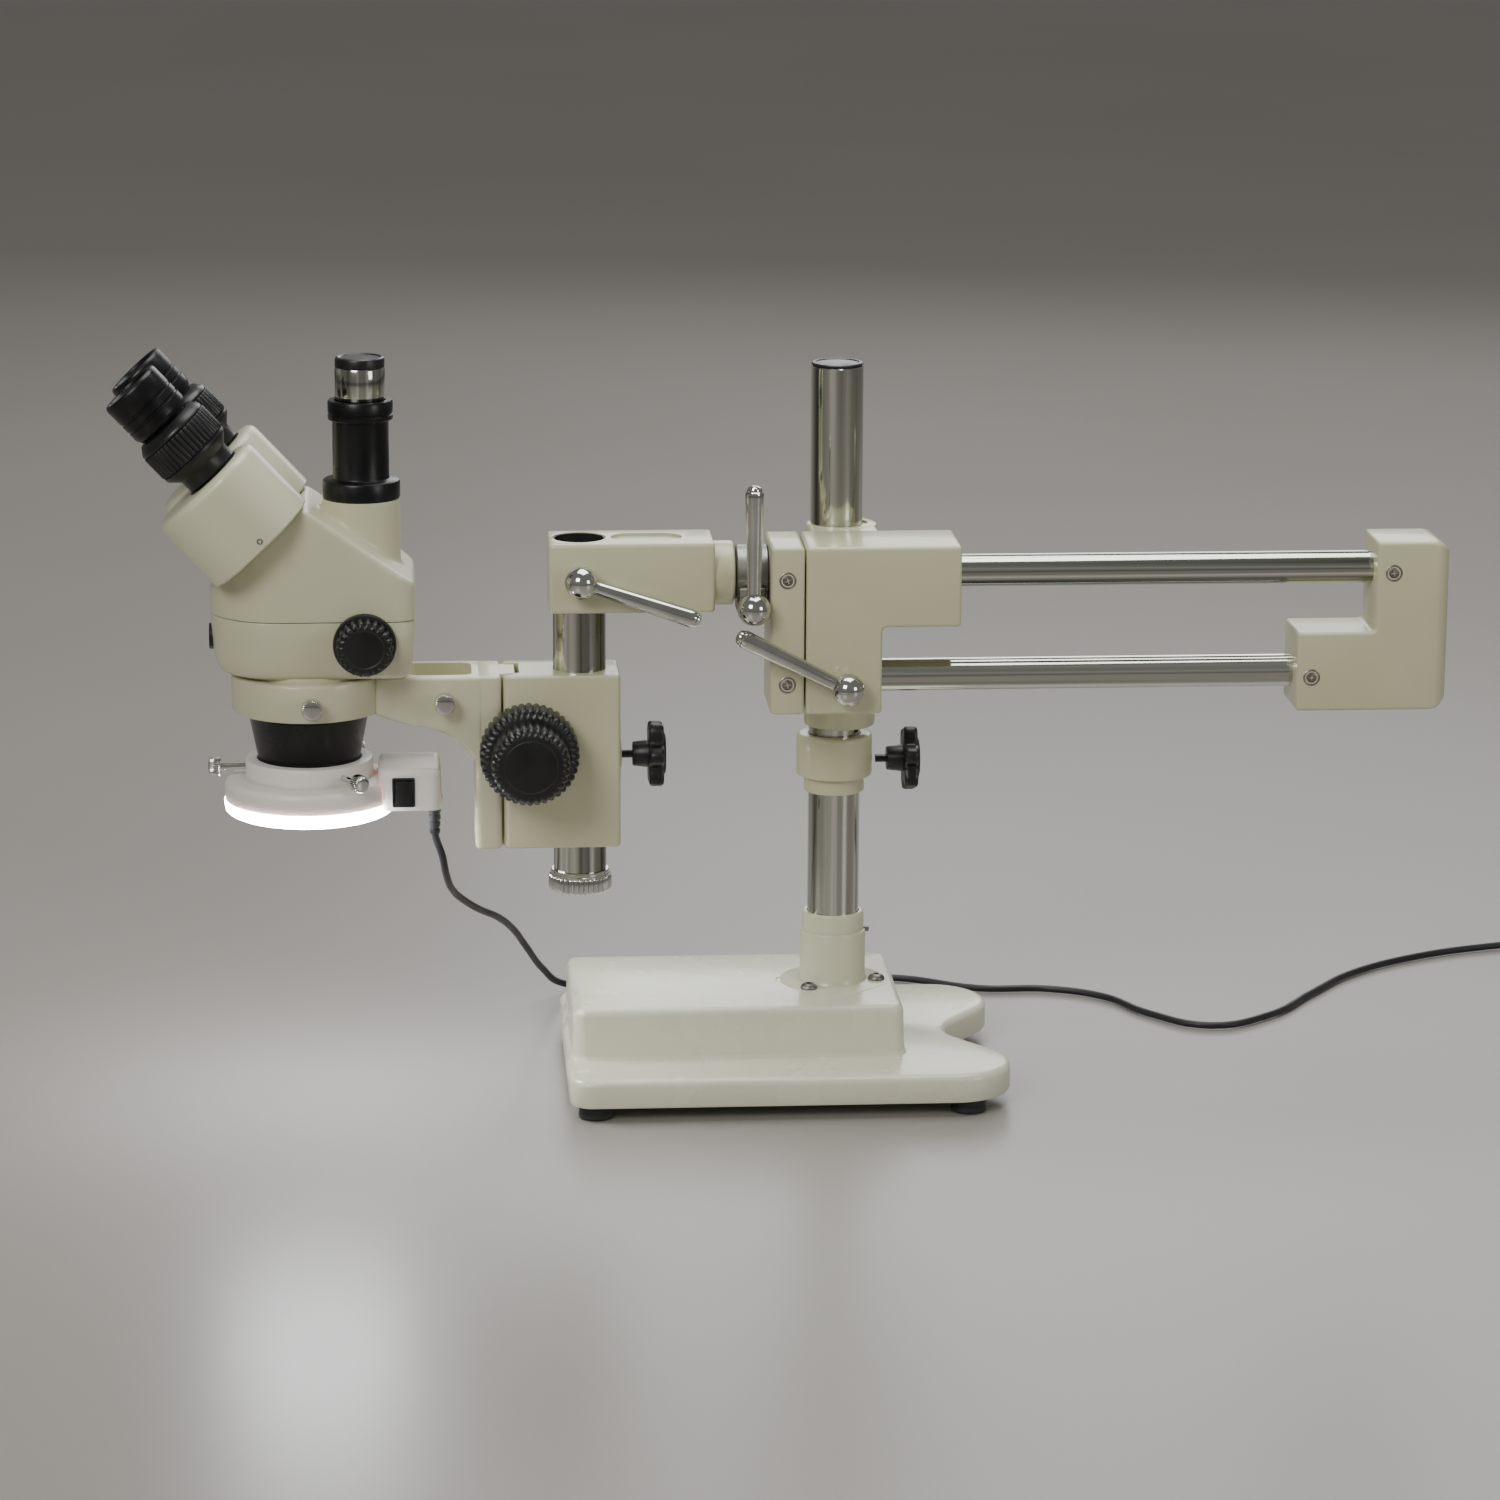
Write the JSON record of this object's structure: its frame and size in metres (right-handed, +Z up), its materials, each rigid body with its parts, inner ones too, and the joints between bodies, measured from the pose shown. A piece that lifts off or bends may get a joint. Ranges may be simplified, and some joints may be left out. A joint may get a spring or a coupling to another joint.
{
  "type": "stereo microscope on boom stand",
  "caption": "Trinocular stereo zoom microscope head with inclined eyepieces, hung from a swinging double-tube boom stand on a heavy slab base, with a ring light and its mains lead.",
  "frame": {"origin": "centre of the overall box in plan, without the mains lead, at desk level", "axes": "+Z up; +X along the boom from the head to the end block; +Y from the front of the stand to its back"},
  "size_m": [1.0287, 0.3818, 0.4632],
  "materials": {
    "casting_paint": "gloss cream enamel",
    "base_paint": "gloss ivory enamel on cast iron",
    "socket_paint": "gloss ivory enamel",
    "head_paint": "satin cream enamel on die-cast alloy",
    "pod_paint": "satin cream enamel on die-cast alloy",
    "bright_chrome": "polished",
    "turned_steel": "turned",
    "dark_steel": "oiled",
    "bush_bronze": "machined",
    "black_knob": "satin black",
    "black_anodised": "satin black anodised",
    "black_rubber": "matt",
    "lead_rubber": "satin",
    "optical_glass": "coated",
    "light_plastic": "satin off-white",
    "light_lens": "lit diffuser",
    "lamp_glass": "phosphor coated"
  },
  "bodies": {
    "stand": {"base_casting": "base_paint", "base_feet": "black_rubber", "post_socket": "socket_paint", "socket_screws": "turned_steel", "post": "bright_chrome", "post_cap": "black_knob", "cord_tube": "lead_rubber", "cord_coil": "lead_rubber", "mains_plug": "lead_rubber"},
    "collar": {"safety_collar": "casting_paint"},
    "collar_lock": {"collar_knob": "black_knob"},
    "carriage": {"boom_housing": "casting_paint", "boom_bearings": "bush_bronze"},
    "carriage_lock": {"boom_lever": "bright_chrome"},
    "boom": {"boom_tubes": "bright_chrome", "front_plate": "casting_paint", "tube_set_screws": "dark_steel", "end_block": "casting_paint", "pivot_shaft": "dark_steel"},
    "boom_swivel_lock": {"swivel_lever": "bright_chrome"},
    "arm": {"swivel_arm": "casting_paint"},
    "arm_lock": {"arm_lever": "bright_chrome"},
    "bar": {"focus_bar": "bright_chrome", "bar_collar": "bright_chrome"},
    "mount": {"focus_body": "casting_paint"},
    "mount_lock": {"body_clamp_knob": "black_knob"},
    "pinion": {"focus_pinion": "turned_steel", "focus_knobs": "black_knob"},
    "slide": {"focus_slide": "head_paint", "focus_rack": "turned_steel"},
    "slide_screw": {"head_screw_rear": "bright_chrome"},
    "head_screw": {"head_screw_front": "bright_chrome"},
    "head": {"head_lower": "head_paint", "head_upper": "head_paint", "nose_cone": "black_anodised", "objective_lens": "optical_glass", "blank_badge": "black_knob", "camera_port": "black_anodised", "camera_sleeve": "bright_chrome"},
    "camera_plug": {"camera_cap": "black_knob"},
    "zoom": {"zoom_shaft": "turned_steel", "zoom_knobs": "black_knob"},
    "zoom_low": {"zoom_lens_low": "black_anodised"},
    "zoom_high": {"zoom_lens_high": "black_anodised"},
    "near_pod": {"pod_left": "pod_paint", "eyepiece_left": "black_anodised", "optics_left": "optical_glass"},
    "far_pod": {"pod_right": "pod_paint", "eyepiece_right": "black_anodised", "optics_right": "optical_glass"},
    "near_dioptre": {"dioptre_left": "black_knob"},
    "far_dioptre": {"dioptre_right": "black_knob"},
    "light": {"ring_light_body": "light_plastic", "ring_light_lens": "light_lens", "ring_lamp": "lamp_glass", "cord_gland": "lead_rubber"},
    "light_screw_a": {"ring_screw_a": "bright_chrome"},
    "light_screw_b": {"ring_screw_b": "bright_chrome"},
    "light_screw_c": {"ring_screw_c": "bright_chrome"},
    "rocker": {"ring_rocker": "black_knob"}
  },
  "joints": [
    {"name": "collar_height", "type": "slide", "parent": "stand", "child": "collar", "axis": [0, 0, 1], "range_m": [-0.06, 0.003]},
    {"name": "collar_knob_turn", "type": "hinge", "parent": "collar", "child": "collar_lock", "pos_m": [0.03556, 0.01525, 0.1995], "axis": [1, 0, 0], "continuous": true},
    {"name": "boom_swing", "type": "hinge", "parent": "stand", "child": "carriage", "pos_m": [0.03556, 0.01525, 0.3285], "axis": [0, 0, 1], "range_deg": [-180, 180]},
    {"name": "boom_lock", "type": "hinge", "parent": "carriage", "child": "carriage_lock", "pos_m": [0.03556, -0.06425, 0.2638], "axis": [0, 1, 0], "range_deg": [-25, 2]},
    {"name": "boom_reach", "type": "slide", "parent": "carriage", "child": "boom", "axis": [-1, 0, 0], "range_m": [0, 0.25]},
    {"name": "swivel_lock", "type": "hinge", "parent": "boom", "child": "boom_swivel_lock", "pos_m": [-0.02094, -0.05925, 0.3125], "axis": [0, 1, 0], "range_deg": [-20, 20]},
    {"name": "arm_roll", "type": "hinge", "parent": "boom", "child": "arm", "pos_m": [-0.05044, -0.03725, 0.3285], "axis": [1, 0, 0], "range_deg": [-45, 45]},
    {"name": "arm_lock", "type": "hinge", "parent": "arm", "child": "arm_lock", "pos_m": [-0.12414, -0.06025, 0.33], "axis": [0, 1, 0], "range_deg": [-25, 0]},
    {"name": "bar_turn", "type": "hinge", "parent": "arm", "child": "bar", "pos_m": [-0.12414, -0.03725, 0.3085], "axis": [0, 0, 1], "range_deg": [-90, 90]},
    {"name": "mount_height", "type": "slide", "parent": "bar", "child": "mount", "axis": [0, 0, 1], "range_m": [-0.016, 0.02]},
    {"name": "mount_knob_turn", "type": "hinge", "parent": "mount", "child": "mount_lock", "pos_m": [-0.10014, -0.03725, 0.217], "axis": [1, 0, 0], "continuous": true},
    {"name": "focus_travel", "type": "slide", "parent": "mount", "child": "slide", "axis": [0, 0, 1], "range_m": [-0.025, 0.025]},
    {"name": "focus_turn", "type": "hinge", "parent": "mount", "child": "pinion", "pos_m": [-0.15564, -0.03725, 0.227], "axis": [0, 1, 0], "range_deg": [-286.5, 286.5]},
    {"name": "arm_screw_turn", "type": "hinge", "parent": "slide", "child": "slide_screw", "pos_m": [-0.20564, -0.06125, 0.2565], "axis": [0, 1, 0], "continuous": true},
    {"name": "head_screw_turn", "type": "hinge", "parent": "slide", "child": "head_screw", "pos_m": [-0.28454, -0.08325, 0.259], "axis": [0, 1, 0], "continuous": true},
    {"name": "head_turn", "type": "hinge", "parent": "slide", "child": "head", "pos_m": [-0.28754, -0.03725, 0.271], "axis": [0, 0, 1], "range_deg": [-180, 180]},
    {"name": "camera_plug_lift", "type": "slide", "parent": "head", "child": "camera_plug", "axis": [0, 0, 1], "range_m": [0, 0.03]},
    {"name": "zoom_turn", "type": "hinge", "parent": "head", "child": "zoom", "pos_m": [-0.25304, -0.03725, 0.296], "axis": [0, 1, 0], "range_deg": [-45, 225]},
    {"name": "zoom_low_travel", "type": "slide", "parent": "head", "child": "zoom_low", "axis": [0, 0, 1], "range_m": [-0.00158, 0.00786]},
    {"name": "zoom_high_travel", "type": "slide", "parent": "head", "child": "zoom_high", "axis": [0, 0, -1], "range_m": [-0.0005, 0.0024]},
    {"name": "near_pod_swing", "type": "hinge", "parent": "head", "child": "near_pod", "pos_m": [-0.31304, -0.06975, 0.355], "axis": [-0.682, 0, 0.7314], "range_deg": [0, 10]},
    {"name": "far_pod_swing", "type": "hinge", "parent": "head", "child": "far_pod", "pos_m": [-0.31304, -0.00475, 0.355], "axis": [-0.682, 0, 0.7314], "range_deg": [-10, 0]},
    {"name": "near_dioptre_turn", "type": "hinge", "parent": "near_pod", "child": "near_dioptre", "pos_m": [-0.34056, -0.06975, 0.39771], "axis": [-0.682, 0, 0.7314], "range_deg": [-90, 90]},
    {"name": "far_dioptre_turn", "type": "hinge", "parent": "far_pod", "child": "far_dioptre", "pos_m": [-0.34056, -0.00475, 0.39771], "axis": [-0.682, 0, 0.7314], "range_deg": [-90, 90]},
    {"name": "light_turn", "type": "hinge", "parent": "head", "child": "light", "pos_m": [-0.28754, -0.03725, 0.2062], "axis": [0, 0, 1], "range_deg": [-60, 60], "deforming": ["cord_tube"]},
    {"name": "light_screw_a_turn", "type": "hinge", "parent": "light", "child": "light_screw_a", "pos_m": [-0.32604, -0.03725, 0.2121], "axis": [-1, 0, 0], "continuous": true},
    {"name": "light_screw_b_turn", "type": "hinge", "parent": "light", "child": "light_screw_b", "pos_m": [-0.26714, -0.0699, 0.2121], "axis": [0.5299, -0.848, 0], "continuous": true},
    {"name": "light_screw_c_turn", "type": "hinge", "parent": "light", "child": "light_screw_c", "pos_m": [-0.26888, -0.00358, 0.2121], "axis": [0.4848, 0.8746, 0], "continuous": true},
    {"name": "rocker_tilt", "type": "hinge", "parent": "light", "child": "rocker", "pos_m": [-0.23104, -0.06335, 0.2012], "axis": [1, 0, 0], "range_deg": [0, 3.5]}
  ],
  "couplings": [
    {"joint": "focus_travel", "follows": "focus_turn", "m_per_rad": 0.005},
    {"joint": "zoom_low_travel", "follows": "zoom_turn", "m_per_rad": 0.002},
    {"joint": "zoom_high_travel", "follows": "zoom_turn", "m_per_rad": 0.0006},
    {"joint": "far_pod_swing", "follows": "near_pod_swing", "ratio": -1}
  ]
}
